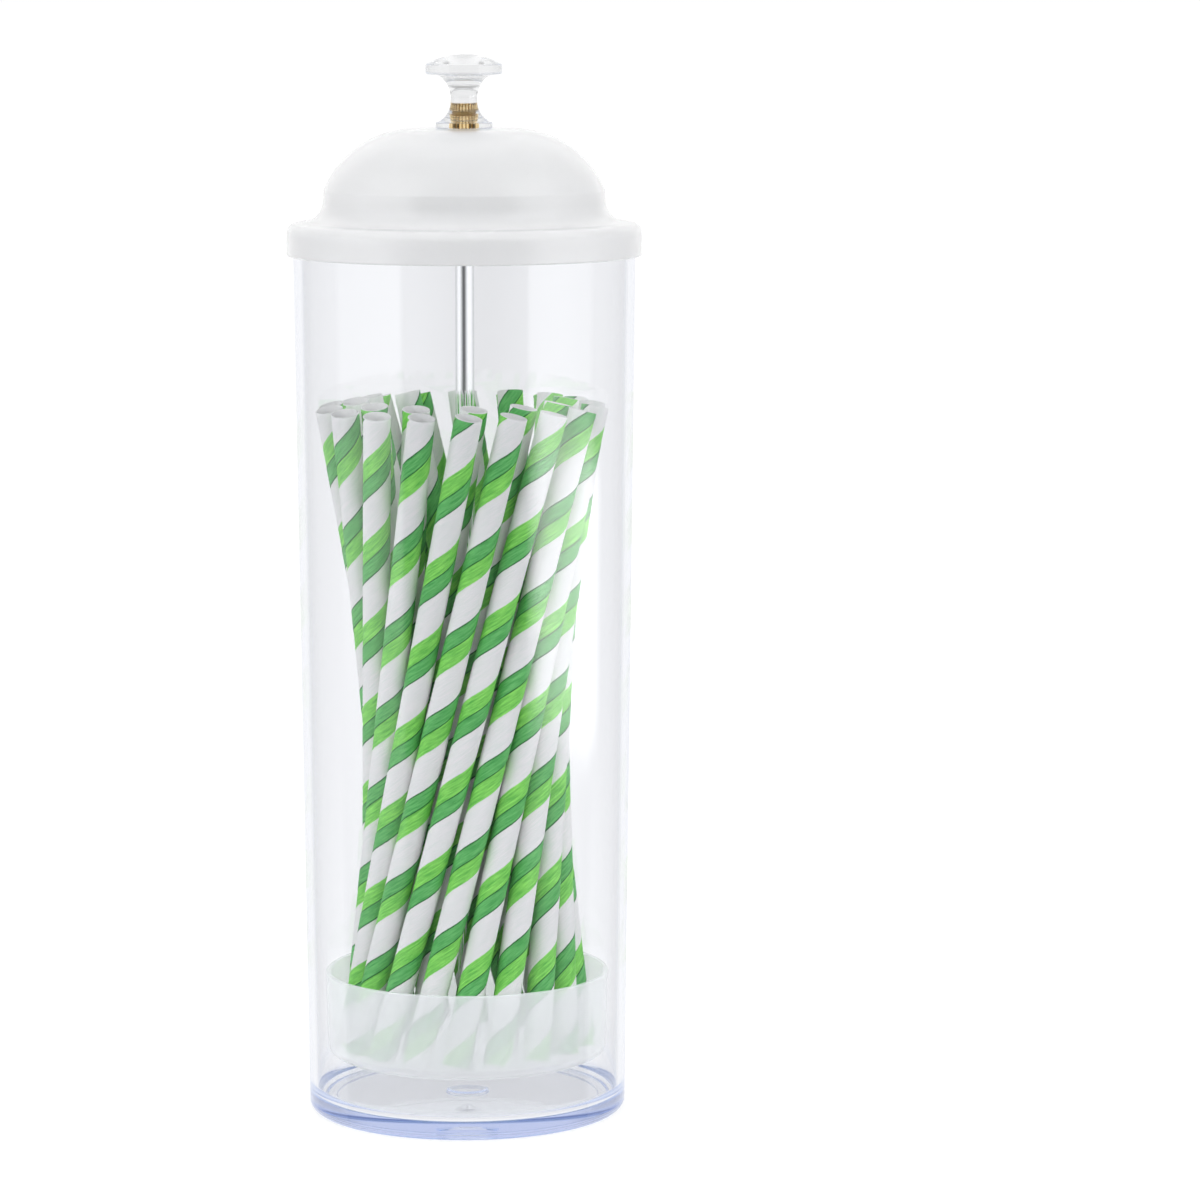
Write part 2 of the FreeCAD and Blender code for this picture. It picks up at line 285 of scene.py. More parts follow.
def moulded_frost():
    """Group: the fine spark-eroded grain of a frosted mould, with a slow cloudiness."""
    group, given, out = new_group(
        "Moulded frost",
        {"Grain scale": 1800.0, "Cloud scale": 14.0},
        ("Grain", "Cloud"),
    )
    link = group.links.new
    place = add(group, "ShaderNodeTexCoord")
    grain = add(group, "ShaderNodeTexNoise", Detail=4.0, Roughness=0.7)
    cloud = add(group, "ShaderNodeTexNoise", Detail=3.0, Roughness=0.6)
    link(place.outputs["Object"], grain.inputs["Vector"])
    link(place.outputs["Object"], cloud.inputs["Vector"])
    link(given.outputs["Grain scale"], grain.inputs["Scale"])
    link(given.outputs["Cloud scale"], cloud.inputs["Scale"])
    link(grain.outputs["Fac"], out.inputs["Grain"])
    link(cloud.outputs["Fac"], out.inputs["Cloud"])
    return group


def place_group(material, group, **values):
    """The group as a node in that material, with its own input values."""
    node = material.node_tree.nodes.new("ShaderNodeGroup")
    node.node_tree = group
    for key, value in values.items():
        node.inputs[key.replace("_", " ")].default_value = value
    return node


def let_lamps_through(material, surface, tint):
    """Shows the surface to every ray but a lamp's, which the clear wall lets through with a tint."""
    tree = material.node_tree
    path = add(tree, "ShaderNodeLightPath")
    film = add(tree, "ShaderNodeBsdfTransparent", Color=tint)
    mix = add(tree, "ShaderNodeMixShader")
    tree.links.new(path.outputs["Is Shadow Ray"], mix.inputs[0])
    tree.links.new(surface, mix.inputs[1])
    tree.links.new(film.outputs["BSDF"], mix.inputs[2])
    tree.links.new(mix.outputs["Shader"], tree.nodes["Material Output"].inputs["Surface"])


def clear_plastic(name, wear, tint, density, haze):
    """Clear styrene: sharp, a little blue through its thickness, with faint smears in its gloss."""
    material, shader, output = new_material(name)
    tree = material.node_tree
    shader.inputs["Base Color"].default_value = (*tint, 1.0)
    shader.inputs["Transmission Weight"].default_value = 1.0
    shader.inputs["IOR"].default_value = 1.53
    marks = place_group(material, wear, Smear_scale=22.0, Scratch_scale=700.0, Lowest=haze, Highest=haze + 0.035)
    tree.links.new(marks.outputs["Roughness"], shader.inputs["Roughness"])
    if density > 0:
        depth = add(tree, "ShaderNodeVolumeAbsorption", Color=(0.54, 0.63, 0.90, 1.0), Density=density)
        tree.links.new(depth.outputs["Volume"], output.inputs["Volume"])
    path = add(tree, "ShaderNodeLightPath")
    caught = add(tree, "ShaderNodeMath", operation="GREATER_THAN")
    caught.inputs[1].default_value = 3.5
    leak = add(tree, "ShaderNodeBsdfTransparent", Color=(0.80, 0.86, 0.97, 1.0))
    mix = add(tree, "ShaderNodeMixShader")
    tree.links.new(path.outputs["Glossy Depth"], caught.inputs[0])
    tree.links.new(caught.outputs["Value"], mix.inputs[0])
    tree.links.new(shader.outputs["BSDF"], mix.inputs[1])
    tree.links.new(leak.outputs["BSDF"], mix.inputs[2])
    let_lamps_through(material, mix.outputs["Shader"], (0.95, 0.96, 0.98, 1.0))
    return material


def frosted_plastic(name, frost, colour, clearness, roughness, veil, painted_glow):
    """Frosted styrene: a milky veil with a grain that blurs what stands behind it, and an emission that paints
    light on it, a glow though it is no lamp.
    """
    material, shader, output = new_material(name)
    tree = material.node_tree
    shader.inputs["Alpha"].default_value = veil
    shader.inputs["Transmission Weight"].default_value = clearness
    shader.inputs["IOR"].default_value = 1.45
    shader.inputs["Specular IOR Level"].default_value = 0.9
    shader.inputs["Coat Weight"].default_value = 1.0
    shader.inputs["Coat Roughness"].default_value = 0.2
    # Painted light: the emission strength makes the plastic glow though it is no lamp.
    shader.inputs["Emission Color"].default_value = (1.0, 1.0, 1.0, 1.0)
    shader.inputs["Emission Strength"].default_value = painted_glow
    skin = place_group(material, frost, Grain_scale=1500.0, Cloud_scale=16.0)
    tone = add(tree, "ShaderNodeMix", data_type="RGBA")
    tone.inputs["A"].default_value = (*[c * 0.965 for c in colour], 1.0)
    tone.inputs["B"].default_value = (*colour, 1.0)
    blur = add(tree, "ShaderNodeMapRange", To_Min=roughness - 0.05, To_Max=roughness + 0.05)
    bump = add(tree, "ShaderNodeBump", Strength=0.06, Distance=0.0003)
    tree.links.new(skin.outputs["Cloud"], tone.inputs["Factor"])
    tree.links.new(tone.outputs["Result"], shader.inputs["Base Color"])
    tree.links.new(skin.outputs["Grain"], blur.inputs["Value"])
    tree.links.new(blur.outputs["Result"], shader.inputs["Roughness"])
    tree.links.new(skin.outputs["Grain"], bump.inputs["Height"])
    tree.links.new(bump.outputs["Normal"], shader.inputs["Normal"])
    let_lamps_through(material, shader.outputs["BSDF"], (0.5, 0.5, 0.5, 1.0))
    return material


def paint_knurl_valley_shade(material, shader, colour, valley, tip):
    """Paints shade into a knurl: the metal's colour darkens from the tips to the valleys, by the distance from
    the axis in metres.
    """
    tree = material.node_tree
    place = add(tree, "ShaderNodeTexCoord")
    flat = add(tree, "ShaderNodeVectorMath", operation="MULTIPLY")
    flat.inputs[1].default_value = (1.0, 1.0, 0.0)
    length = add(tree, "ShaderNodeVectorMath", operation="LENGTH")
    height = add(tree, "ShaderNodeMapRange", From_Min=valley, From_Max=tip)
    tone = add(tree, "ShaderNodeMix", data_type="RGBA")
    # Painted shade: the colour in the valleys is the metal's colour squared and dimmed.
    tone.inputs["A"].default_value = (*[c * c * 0.45 for c in colour], 1.0)
    tone.inputs["B"].default_value = (*colour, 1.0)
    tree.links.new(place.outputs["Object"], flat.inputs[0])
    tree.links.new(flat.outputs["Vector"], length.inputs[0])
    tree.links.new(length.outputs["Value"], height.inputs["Value"])
    tree.links.new(height.outputs["Result"], tone.inputs["Factor"])
    tree.links.new(tone.outputs["Result"], shader.inputs["Base Color"])


def metal(name, wear, colour, lowest, highest, drawn_scale, knurl=None):
    """Bright metal with fine lines from drawing or turning; with a knurl, shade is painted into its valleys."""
    material, shader, output = new_material(name)
    tree = material.node_tree
    shader.inputs["Metallic"].default_value = 1.0
    # A knurl gets painted shade in its valleys.
    if knurl:
        paint_knurl_valley_shade(material, shader, colour, *knurl)
    else:
        shader.inputs["Base Color"].default_value = (*colour, 1.0)
    marks = place_group(
        material, wear, Smear_scale=60.0, Scratch_scale=drawn_scale, Lowest=lowest, Highest=highest
    )
    bump = add(tree, "ShaderNodeBump", Strength=0.05, Distance=0.00002)
    tree.links.new(marks.outputs["Roughness"], shader.inputs["Roughness"])
    tree.links.new(marks.outputs["Height"], bump.inputs["Height"])
    tree.links.new(bump.outputs["Normal"], shader.inputs["Normal"])
    return material


LEAF_GREEN = (0.212, 0.725, 0.114, 1.0)
DEEP_GREEN = (0.112, 0.51, 0.130, 1.0)
SEAM_GREEN = (0.010, 0.16, 0.030, 1.0)
PAPER_WHITE = (0.88, 0.88, 0.87, 0.12)


def striped_paper():
    """Printed paper of a straw: half white, half green in two tones that meet at the paper's lap."""
    material, shader, output = new_material("Striped paper")
    tree = material.node_tree
    link = tree.links.new
    place = add(tree, "ShaderNodeUVMap")
    across = add(tree, "ShaderNodeSeparateXYZ")
    link(place.outputs["UV"], across.inputs["Vector"])
    where = add(tree, "ShaderNodeTexCoord")
    bleed = add(tree, "ShaderNodeTexNoise", Scale=900.0, Detail=2.0)
    link(where.outputs["Object"], bleed.inputs["Vector"])
    shift = add(tree, "ShaderNodeMath", operation="MULTIPLY_ADD")
    shift.inputs[1].default_value = 0.012
    link(bleed.outputs["Fac"], shift.inputs[0])
    link(across.outputs["X"], shift.inputs[2])
    bands = add(tree, "ShaderNodeValToRGB")
    ramp = bands.color_ramp
    ramp.elements[0].position = 0.0
    ramp.elements[0].color = SEAM_GREEN
    ramp.elements[1].position = 1.0
    ramp.elements[1].color = LEAF_GREEN
    for position, colour in (
        (0.018, SEAM_GREEN),
        (0.030, DEEP_GREEN),
        (0.226, DEEP_GREEN),
        (0.234, SEAM_GREEN),
        (0.246, SEAM_GREEN),
        (0.256, PAPER_WHITE),
        (0.745, PAPER_WHITE),
        (0.757, LEAF_GREEN),
    ):
        ramp.elements.new(position).color = colour
    link(shift.outputs["Value"], bands.inputs["Fac"])
    fibre = add(tree, "ShaderNodeTexNoise", Scale=2600.0, Detail=3.0, Roughness=0.65)
    link(where.outputs["Object"], fibre.inputs["Vector"])
    along = add(tree, "ShaderNodeMapping")
    along.inputs["Scale"].default_value = (36.0, 46.0, 1.0)
    link(place.outputs["UV"], along.inputs["Vector"])
    streaks = add(tree, "ShaderNodeTexNoise", Scale=1.0, Detail=4.0, Roughness=0.62)
    link(along.outputs["Vector"], streaks.inputs["Vector"])
    strength = add(tree, "ShaderNodeMapRange", From_Min=0.3, From_Max=0.7)
    link(streaks.outputs["Fac"], strength.inputs["Value"])
    worn = add(tree, "ShaderNodeMix", data_type="RGBA")
    worn.inputs["A"].default_value = (0.40, 0.66, 0.50, 1.0)
    worn.inputs["B"].default_value = (1.70, 1.26, 1.45, 1.0)
    link(strength.outputs["Result"], worn.inputs["Factor"])
    tone = add(tree, "ShaderNodeMix", data_type="RGBA", blend_type="MULTIPLY")
    link(bands.outputs["Alpha"], tone.inputs["Factor"])
    link(bands.outputs["Color"], tone.inputs["A"])
    link(worn.outputs["Result"], tone.inputs["B"])
    link(tone.outputs["Result"], shader.inputs["Base Color"])
    shader.inputs["Roughness"].default_value = 0.62
    bump = add(tree, "ShaderNodeBump", Strength=0.10, Distance=0.00006)
    link(fibre.outputs["Fac"], bump.inputs["Height"])
    link(bump.outputs["Normal"], shader.inputs["Normal"])
    return material


def plain_paper():
    """Bare paper inside a straw and on its cut ends."""
    material, shader, output = new_material("Bare paper")
    tree = material.node_tree
    where = add(tree, "ShaderNodeTexCoord")
    fibre = add(tree, "ShaderNodeTexNoise", Scale=1800.0, Detail=4.0, Roughness=0.65)
    tone = add(tree, "ShaderNodeMix", data_type="RGBA")
    tone.inputs["A"].default_value = (0.66, 0.66, 0.64, 1.0)
    tone.inputs["B"].default_value = (0.84, 0.84, 0.82, 1.0)
    tree.links.new(where.outputs["Object"], fibre.inputs["Vector"])
    tree.links.new(fibre.outputs["Fac"], tone.inputs["Factor"])
    tree.links.new(tone.outputs["Result"], shader.inputs["Base Color"])
    shader.inputs["Roughness"].default_value = 0.8
    return material


# Pieces


def canister_radius(z):
    """Outer radius of the canister's drafted wall at a height."""
    return CANISTER_MOUTH - CANISTER_DRAFT * (1 - z / CANISTER_TOP)


def make_canister(material):
    foot = canister_radius(0)
    ring_inner = foot - FOOT_ROUNDING - FOOT_RING_WIDTH
    turned(
        "canister_shell",
        [
            (0, FOOT_RECESS + GATE_WELL),
            (GATE_RADIUS, FOOT_RECESS + GATE_WELL, 0.4),
            (GATE_RADIUS, FOOT_RECESS, 0.3),
            (ring_inner, FOOT_RECESS, 0.3),
            (ring_inner, 0, 0.25),
            (foot, 0, FOOT_ROUNDING),
            (CANISTER_MOUTH, CANISTER_TOP, 0.8),
            (CANISTER_MOUTH - CANISTER_WALL, CANISTER_TOP, 0.8),
            (canister_radius(CANISTER_FLOOR) - CANISTER_WALL, CANISTER_FLOOR, FLOOR_ROUNDING),
            (GATE_RADIUS, CANISTER_FLOOR, 0.3),
            (GATE_RADIUS - GATE_PAD, CANISTER_FLOOR + GATE_PAD, 0.3),
            (0, CANISTER_FLOOR + GATE_PAD),
        ],
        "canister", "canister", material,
    )


def make_lid(material):
    cove_foot = LID_EDGE - FLANGE_ROUNDING - FLANGE_LAND
    flange_z = CANISTER_TOP + FLANGE_THICKNESS
    cove_z = flange_z + FLANGE_FALL
    cove_top = cove_z + COVE_RADIUS
    neck = cove_foot - COVE_RADIUS
    neck_top = cove_top + NECK_BAND
    centre_z = LID_TOP - DOME_RADIUS
    centre_r = neck - NECK_DRAFT - math.sqrt(DOME_RADIUS**2 - (neck_top - centre_z) ** 2)
    below_crease = neck - NECK_DRAFT * (1 - DOME_CREASE / NECK_BAND)
    above_crease = math.asin((neck_top - centre_z) / DOME_RADIUS) + DOME_CREASE / DOME_RADIUS
    crease_out = centre_r + DOME_RADIUS * math.cos(above_crease)
    crease_up = centre_z + DOME_RADIUS * math.sin(above_crease)
    inner = neck - LID_WALL
    inner_dome = DOME_RADIUS - LID_WALL
    crease = inner - NECK_DRAFT
    crease_z = centre_z + math.sqrt(inner_dome**2 - (crease - centre_r) ** 2)
    hub_top = LID_TOP - LID_WALL
    seat = CANISTER_TOP + 0.05
    turned(
        "lid_shell",
        [
            (LID_HOLE, LID_TOP - LID_WALL - LID_HUB_DEPTH, 0.2),
            (LID_HUB_RADIUS, LID_TOP - LID_WALL - LID_HUB_DEPTH, 0.5),
            (LID_HUB_RADIUS, hub_top, 0.6),
            (centre_r, hub_top),
            (crease, crease_z, centre_r, centre_z),
            (inner, cove_top),
            (cove_foot, cove_z - LID_WALL, cove_foot, cove_top),
            (cove_foot - 0.05, seat, 0.3),
            (LID_EDGE - SKIRT_WALL, seat, 0.3),
            (LID_EDGE - SKIRT_WALL, LID_BOTTOM, 0.5),
            (LID_EDGE, LID_BOTTOM, 0.6),
            (LID_EDGE, flange_z, FLANGE_ROUNDING),
            (cove_foot, cove_z),
            (neck, cove_top, cove_foot, cove_top),
            (below_crease, neck_top - DOME_CREASE),
            (neck - NECK_DRAFT, neck_top),
            (crease_out, crease_up),
            (centre_r, LID_TOP, centre_r, centre_z),
            (LID_HOLE, LID_TOP, 0.25),
        ],
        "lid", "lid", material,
    )


def make_knob(material):
    lower = KNOB_BOTTOM + KNOB_BASE_EDGE
    disc_top = KNOB_TOP - KNOB_CROWN
    disc_bottom = disc_top - KNOB_DISC_EDGE
    throat_low = lower + KNOB_LOWER_FLARE_HEIGHT
    throat_high = throat_low + KNOB_THROAT
    lower_centre = KNOB_NECK_RADIUS + KNOB_LOWER_FLARE
    upper_centre = KNOB_NECK_RADIUS + KNOB_UPPER_FLARE
    flare_foot = lower_centre - math.sqrt(KNOB_LOWER_FLARE**2 - KNOB_LOWER_FLARE_HEIGHT**2)
    under = disc_bottom - KNOB_DISC_FALL
    flare_head = upper_centre - math.sqrt(KNOB_UPPER_FLARE**2 - (under - throat_high) ** 2)
    crown = (KNOB_DISC**2 + KNOB_CROWN**2) / (2 * KNOB_CROWN)
    crown_centre = KNOB_TOP - crown
    rim = KNOB_DISC - 0.35
    rim_z = crown_centre + math.sqrt(crown**2 - rim**2)
    turned(
        "knob_spool",
        [
            (0, INSERT_TOP - KNOB_CAVITY_GRIP),
            (KNOB_CAVITY, INSERT_TOP - KNOB_CAVITY_GRIP, 0.3),
            (KNOB_CAVITY, INSERT_TOP - INSERT_BAND + KNOB_CAVITY_GRIP),
            (KNOB_CAVITY_WAIST, INSERT_TOP - INSERT_BAND + KNOB_CAVITY_GRIP),
            (KNOB_CAVITY_WAIST, INSERT_BOTTOM + INSERT_BAND - KNOB_CAVITY_GRIP),
            (KNOB_CAVITY, INSERT_BOTTOM + INSERT_BAND - KNOB_CAVITY_GRIP),
            (KNOB_CAVITY, KNOB_BOTTOM, 0.15),
            (KNOB_BASE_RADIUS, KNOB_BOTTOM, 0.3),
            (KNOB_BASE_RADIUS, lower, 0.35),
            (flare_foot, lower),
            (KNOB_NECK_RADIUS, throat_low, lower_centre, throat_low),
            (KNOB_NECK_RADIUS, throat_high),
            (flare_head, under, upper_centre, throat_high),
            (KNOB_DISC, disc_bottom, 0.4),
            (KNOB_DISC, disc_top - 0.2, 0.1),
            (rim, rim_z),
            (0, KNOB_TOP, 0, crown_centre),
        ],
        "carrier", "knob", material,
    )


def make_tray(material):
    base = TRAY_RIM_TOP - TRAY_HEIGHT
    floor = base + TRAY_FLOOR
    foot = TRAY_RIM - TRAY_TAPER
    ring_outer = foot - TRAY_CORNER
    ring_inner = ring_outer - TRAY_FOOT_RING
    ring_z = base - TRAY_FOOT_RING_HEIGHT
    inner_foot = foot + TRAY_TAPER * TRAY_FLOOR / TRAY_HEIGHT - TRAY_WALL
    turned(
        "tray_cup",
        [
            (SCREW_HOLE, TRAY_BOSS_BOTTOM, 0.15),
            (TRAY_HUB, TRAY_BOSS_BOTTOM, 0.4),
            (TRAY_HUB, base, 0.4),
            (ring_inner, base, 0.2),
            (ring_inner, ring_z, 0.15),
            (ring_outer, ring_z, 0.2),
            (ring_outer + 0.01, base, 0.1),
            (foot, base, TRAY_CORNER - 0.2),
            (TRAY_RIM, TRAY_RIM_TOP, 0.5),
            (TRAY_RIM - TRAY_WALL, TRAY_RIM_TOP, 0.5),
            (inner_foot, floor, TRAY_CORNER - TRAY_WALL),
            (TRAY_HUB, floor, 0.6),
            (TRAY_HUB, TRAY_HUB_TOP, 0.5),
            (SCREW_HOLE, TRAY_HUB_TOP, 0.15),
        ],
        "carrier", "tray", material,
    )


def thread_height(z, angle):
    """Radius of the screw thread at a height in millimetres and an angle."""
    phase = (z / THREAD_PITCH - angle / (2 * math.pi)) % 1.0
    ridge = min(1.0, 2.6 * abs(phase - 0.5))
    return THREAD_RADIUS - THREAD_DEPTH * ridge


def rod_rings():
    """Heights of the rod's rings with the radius that each has, or none where the thread sets it."""
    fine = THREAD_PITCH / 8
    foot, head = TRAY_WASHER_TOP, LID_WASHER
    rings = [(ROD_TIP, THREAD_RADIUS - 0.5)]
    steps = int((foot - ROD_TIP - 0.5) / fine)
    rings += [(ROD_TIP + 0.5 + fine * i, None) for i in range(steps)]
    rings += [(foot, THREAD_RADIUS), (foot, ROD_RADIUS - ROD_CHAMFER), (foot + ROD_CHAMFER, ROD_RADIUS)]
    rings += [(head - ROD_CHAMFER, ROD_RADIUS), (head, ROD_RADIUS - ROD_CHAMFER), (head, THREAD_RADIUS)]
    steps = int((ROD_TOP - 0.5 - head) / fine)
    rings += [(head + fine * (i + 1), None) for i in range(steps)]
    rings.append((ROD_TOP, THREAD_RADIUS - 0.5))
    return rings


def make_rod(material):
    """Steel rod with rolled threads on its two turned-down ends."""
    columns = 48
    rings = rod_rings()
    verts = [(0, 0, rings[0][0] * MM)]
    for z, radius in rings:
        for i in range(columns):
            angle = 2 * math.pi * i / columns
            r = (thread_height(z, angle) if radius is None else radius) * MM
            verts.append((r * math.cos(angle), r * math.sin(angle), z * MM))
    verts.append((0, 0, rings[-1][0] * MM))
    top = len(verts) - 1
    faces = [(0, 1 + (i + 1) % columns, 1 + i) for i in range(columns)]
    for k in range(len(rings) - 1):
        low, high = 1 + k * columns, 1 + (k + 1) * columns
        for i in range(columns):
            j = (i + 1) % columns
            faces.append((low + i, low + j, high + j, high + i))
    last = 1 + (len(rings) - 1) * columns
    faces += [(last + i, last + (i + 1) % columns, top) for i in range(columns)]
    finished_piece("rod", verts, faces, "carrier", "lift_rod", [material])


def straw_outline():
    """Height and radius of a straw's wall from its foot up outside and down inside, and if it shows print."""
    inside, edge = STRAW_RADIUS - STRAW_PAPER, 0.12
    points = [(0.0, STRAW_RADIUS - edge, False), (edge, STRAW_RADIUS, True)]
    step = (STRAW_LENGTH - 2 * edge) / STRAW_RINGS
    points += [(edge + step * (i + 1), STRAW_RADIUS, True) for i in range(STRAW_RINGS)]
    points += [(STRAW_LENGTH, STRAW_RADIUS - edge, False), (STRAW_LENGTH, inside, False)]
    inner_rings = STRAW_RINGS // 3
    points += [(STRAW_LENGTH * (1 - i / inner_rings), inside, False) for i in range(1, inner_rings + 1)]
    return points


def make_straw_mesh(materials):
    """One paper straw along +Z: its columns follow the helix of the wound paper, with a step at the lap."""
    crisp = 0.0025
    shares = [0.0, crisp] + [i / STRAW_COLUMNS for i in range(1, STRAW_COLUMNS)]
    rings = straw_outline()
    columns = len(shares)
    verts, faces, slots, coords = [], [], [], []
    for z, radius, printed in rings:
        for share in shares:
            angle = 2 * math.pi * (share + z / STRIPE_PITCH)
            lap = STRAW_LAP * (share if share > 0 else 1.0) if printed else 0.0
            r = (radius - lap) * MM
            verts.append((r * math.cos(angle), r * math.sin(angle), z * MM))
    for k in range(len(rings)):
        low, high = k, (k + 1) % len(rings)
        for i in range(columns):
            j = (i + 1) % columns
            faces.append((low * columns + i, low * columns + j, high * columns + j, high * columns + i))
            slots.append(0 if rings[low][2] and rings[high][2] else 1)
            left, right = shares[i], shares[j] if j else 1.0
            down, up = rings[low][0] / STRAW_LENGTH, rings[high][0] / STRAW_LENGTH
            coords += [(left, down), (right, down), (right, up), (left, up)]
    mesh = bpy.data.meshes.new("straw")
    mesh.from_pydata(verts, [], faces)
    mesh.polygons.foreach_set("use_smooth", [True] * len(faces))
    mesh.polygons.foreach_set("material_index", slots)
    for material in materials:
        mesh.materials.append(material)
    wrap = mesh.uv_layers.new(name="Wrap")
    for corner, place in zip(wrap.data, coords):
        corner.uv = place
    return mesh


def straw_placement(number):
    """Matrix that stands a straw where the frame holds it, from its joint and the height of its box."""
    node = f"straw_{number:02d}"
    joint = next(j for j in frame["joints"] if j["name"] == f"fan_{number:02d}")
    length, radius = STRAW_LENGTH * MM, STRAW_RADIUS * MM
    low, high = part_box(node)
    lean = math.atan2(2 * radius, length) + math.acos((high.z - low.z) / math.hypot(length, 2 * radius))
    heading = math.atan2(-joint["axis"][0], joint["axis"][1])
    stand = Matrix.Translation(Vector(joint["pos_m"])) @ Matrix.Rotation(heading, 4, "Z")
    return stand @ Matrix.Rotation(lean, 4, "Y") @ Matrix.Translation((-radius, 0, 0))


def make_straws(materials):
    mesh = make_straw_mesh(materials)
    count = sum(name.startswith("straw_") for name in frame["nodes"])
    for number in range(1, count + 1):
        spin = 2 * math.pi * (0.53 * number + 0.06 * math.sin(2.4 * number))
        turn = Matrix.Rotation(spin, 4, "Z")
        if number % 2 == 0:
            turn = turn @ Matrix.Translation((0, 0, STRAW_LENGTH * MM)) @ Matrix.Rotation(math.pi, 4, "X")
        piece = bpy.data.objects.new(f"paper_straw_{number:02d}", mesh)
        bpy.context.scene.collection.objects.link(piece)
        piece.matrix_world = straw_placement(number) @ turn
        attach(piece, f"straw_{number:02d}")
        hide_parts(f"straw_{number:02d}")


def dress(material, *nodes):
    """Gives CAD nodes that stay in view their material."""
    for name in nodes:
        slots = frame["nodes"][name].material_slots
        for slot in slots:
            slot.material = material


# Studio


def aim(obj, target):
    obj.rotation_euler = (Vector(target) - obj.location).to_track_quat("-Z", "Y").to_euler()


def make_camera():
    data = bpy.data.cameras.new("Camera")
    data.lens = LENS
    data.sensor_width = SENSOR_WIDTH
    data.clip_end = 50.0
    camera = bpy.data.objects.new("Camera", data)
    camera.location = (0.0, -CAMERA_DISTANCE, CAMERA_HEIGHT)
    camera.rotation_euler = (math.pi / 2 - CAMERA_PITCH, 0.0, -CAMERA_YAW)
    bpy.context.scene.collection.objects.link(camera)
    bpy.context.scene.camera = camera


def make_lamp(name, place, size, power):
    """Soft panel lamp that lights the pieces without showing itself."""
    data = bpy.data.lights.new(name, "AREA")
    data.shape = "RECTANGLE"
    data.size, data.size_y = size
    data.energy = power
    lamp = bpy.data.objects.new(name, data)
    lamp.location = place
    aim(lamp, (0.0, 0.0, 0.15))
    lamp.visible_camera = False
    lamp.visible_glossy = False
    lamp.visible_transmission = False
    bpy.context.scene.collection.objects.link(lamp)


def make_floor():
    """White table that shows as the page and keeps the object's shadow."""
    size = 40.0
    mesh = bpy.data.meshes.new("floor")
    mesh.from_pydata([(-size, -size, 0), (size, -size, 0), (size, size, 0), (-size, size, 0)], [], [(0, 1, 2, 3)])
    floor = bpy.data.objects.new("floor", mesh)
    bpy.context.scene.collection.objects.link(floor)
    floor.location.z = -0.0002
    floor.visible_glossy = False
    material, shader, output = new_material("Table")
    tree = material.node_tree
    shader.inputs["Base Color"].default_value = (0.50, 0.50, 0.50, 1.0)
    shader.inputs["Roughness"].default_value = 0.9
    shader.inputs["Specular IOR Level"].default_value = 0.0
    path = add(tree, "ShaderNodeLightPath")
    near = add(tree, "ShaderNodeMath", operation="LESS_THAN")
    near.inputs[1].default_value = 0.5
    lift = add(tree, "ShaderNodeMath", operation="MULTIPLY_ADD")
    lift.inputs[1].default_value = 0.345
    lift.inputs[2].default_value = 0.26
    tree.links.new(path.outputs["Diffuse Depth"], near.inputs[0])
    tree.links.new(near.outputs["Value"], lift.inputs[0])
    tree.links.new(lift.outputs["Value"], shader.inputs["Emission Strength"])
    shader.inputs["Emission Color"].default_value = (1.0, 1.0, 1.0, 1.0)
    mirrored = add(tree, "ShaderNodeMath", operation="GREATER_THAN")
    mirrored.inputs[1].default_value = 0.5
    gone = add(tree, "ShaderNodeBsdfTransparent")
    mix = add(tree, "ShaderNodeMixShader")
    tree.links.new(path.outputs["Glossy Depth"], mirrored.inputs[0])
    tree.links.new(mirrored.outputs["Value"], mix.inputs[0])
    tree.links.new(shader.outputs["BSDF"], mix.inputs[1])
    tree.links.new(gone.outputs["BSDF"], mix.inputs[2])
    tree.links.new(mix.outputs["Shader"], output.inputs["Surface"])
    mesh.materials.append(material)


def smooth_band(tree, value, low, high, soft):
    """Node output that is 1 between low and high and fades to 0 over the soft width outside them."""
    rise = add(tree, "ShaderNodeMapRange", interpolation_type="SMOOTHSTEP")
    rise.inputs["From Min"].default_value = low - soft
    rise.inputs["From Max"].default_value = low
    fall = add(tree, "ShaderNodeMapRange", interpolation_type="SMOOTHSTEP")
    fall.inputs["From Min"].default_value = high
    fall.inputs["From Max"].default_value = high + soft
    fall.inputs["To Min"].default_value = 1.0
    fall.inputs["To Max"].default_value = 0.0
    both = add(tree, "ShaderNodeMath", operation="MULTIPLY")
    tree.links.new(value, rise.inputs["Value"])
    tree.links.new(value, fall.inputs["Value"])
    tree.links.new(rise.outputs["Result"], both.inputs[0])
    tree.links.new(fall.outputs["Result"], both.inputs[1])
    return both.outputs["Value"]


